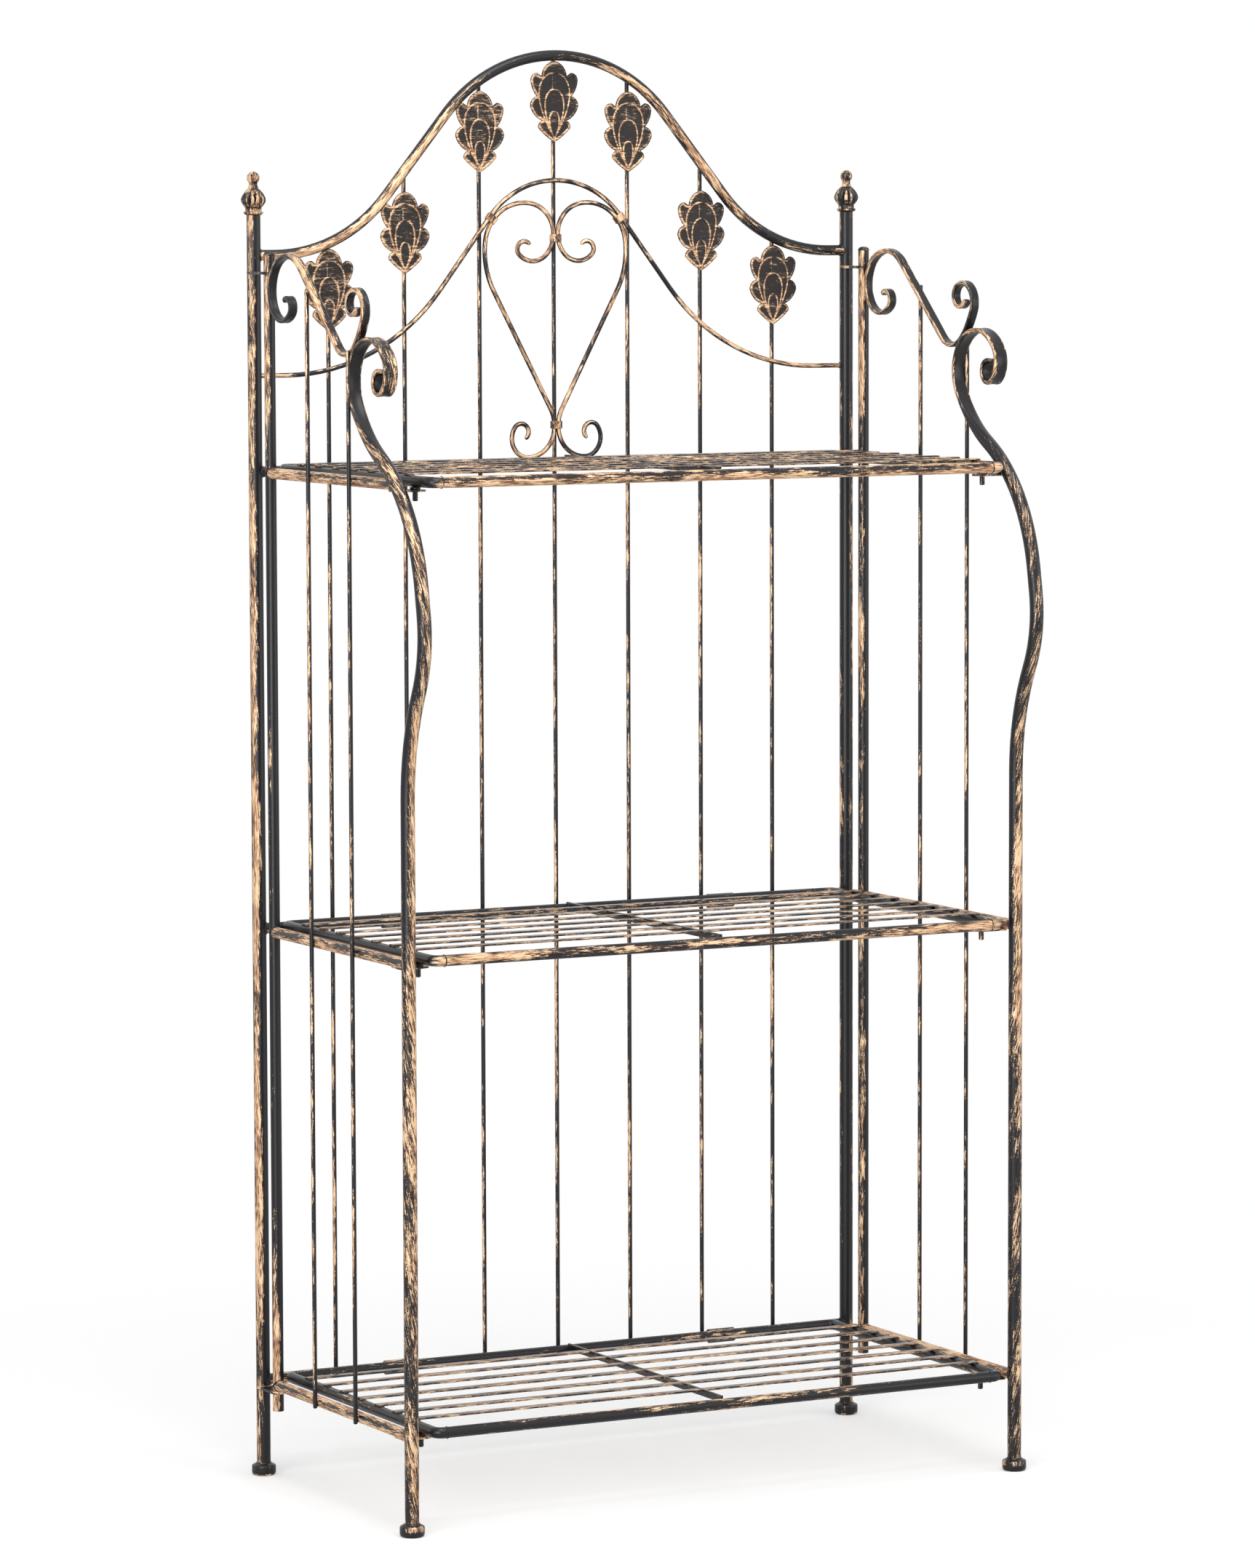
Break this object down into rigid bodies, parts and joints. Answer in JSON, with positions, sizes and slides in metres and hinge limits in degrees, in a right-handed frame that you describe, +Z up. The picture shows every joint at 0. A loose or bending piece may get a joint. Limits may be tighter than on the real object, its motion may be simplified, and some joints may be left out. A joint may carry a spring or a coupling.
{
  "type": "bakers rack",
  "caption": "Folding baker's rack in bent steel tube: three slatted shelves between side panels with curled scrolls, and an arched back with leaf stampings and a heart scroll.",
  "frame": {"origin": "on the floor, at the middle of the rack's bounding box", "axes": "+Z up, +X to the rack's right as seen from its front, +Y to its back; the shelves face -Y"},
  "size_m": [0.8088, 0.4634, 1.6522],
  "materials": {
    "tube_paint": "satin black with hand-brushed gold streaks",
    "scroll_paint": "satin black, brushed gold on the rims",
    "leaf_paint": "antique gold over black",
    "slat_paint": "satin dark paint",
    "casting_paint": "satin black with brushed gold"
  },
  "bodies": {
    "frame": {"back_post_left": "tube_paint", "post_foot_left": "casting_paint", "leg_foot_left": "casting_paint", "finial_left": "casting_paint", "side_rear_tube_left": "tube_paint", "front_leg_left": "tube_paint", "scroll_bar_left": "scroll_paint", "side_bars_left": "tube_paint", "side_rods_left": "tube_paint", "hinge_plates_left": "tube_paint", "shelf_tabs_left": "tube_paint", "heart_scroll_left": "scroll_paint", "back_post_right": "tube_paint", "post_foot_right": "casting_paint", "leg_foot_right": "casting_paint", "finial_right": "casting_paint", "side_rear_tube_right": "tube_paint", "front_leg_right": "tube_paint", "scroll_bar_right": "scroll_paint", "side_bars_right": "tube_paint", "side_rods_right": "tube_paint", "hinge_plates_right": "tube_paint", "shelf_tabs_right": "tube_paint", "heart_scroll_right": "scroll_paint", "back_crossbar_bottom": "tube_paint", "back_crossbar_middle": "tube_paint", "back_crossbar_top": "tube_paint", "back_rod_1": "tube_paint", "leaf_1": "leaf_paint", "back_rod_2": "tube_paint", "leaf_2": "leaf_paint", "back_rod_3": "tube_paint", "leaf_3": "leaf_paint", "back_rod_4": "tube_paint", "leaf_4": "leaf_paint", "back_rod_5": "tube_paint", "leaf_5": "leaf_paint", "back_rod_6": "tube_paint", "leaf_6": "leaf_paint", "back_rod_7": "tube_paint", "leaf_7": "leaf_paint", "arch_tube": "tube_paint", "bell_rod": "scroll_paint", "scroll_clasps": "scroll_paint", "rear_tube_caps": "casting_paint"},
    "shelf_bottom": {"shelf_bottom_frame": "tube_paint", "shelf_bottom_slats": "slat_paint", "shelf_bottom_batten": "slat_paint", "shelf_bottom_pins": "tube_paint", "shelf_bottom_sleeves": "tube_paint"},
    "shelf_middle": {"shelf_middle_frame": "tube_paint", "shelf_middle_slats": "slat_paint", "shelf_middle_batten": "slat_paint", "shelf_middle_pins": "tube_paint", "shelf_middle_sleeves": "tube_paint"},
    "shelf_top": {"shelf_top_frame": "tube_paint", "shelf_top_slats": "slat_paint", "shelf_top_batten": "slat_paint", "shelf_top_pins": "tube_paint", "shelf_top_sleeves": "tube_paint"}
  },
  "joints": [
    {"name": "shelf_bottom_fold", "type": "hinge", "parent": "frame", "child": "shelf_bottom", "pos_m": [0, 0.21755, 0.112], "axis": [-1, 0, 0], "range_deg": [0, 75]},
    {"name": "shelf_middle_fold", "type": "hinge", "parent": "frame", "child": "shelf_middle", "pos_m": [0, 0.21755, 0.64], "axis": [-1, 0, 0], "range_deg": [0, 75]},
    {"name": "shelf_top_fold", "type": "hinge", "parent": "frame", "child": "shelf_top", "pos_m": [0, 0.21755, 1.168], "axis": [-1, 0, 0], "range_deg": [0, 55]}
  ]
}
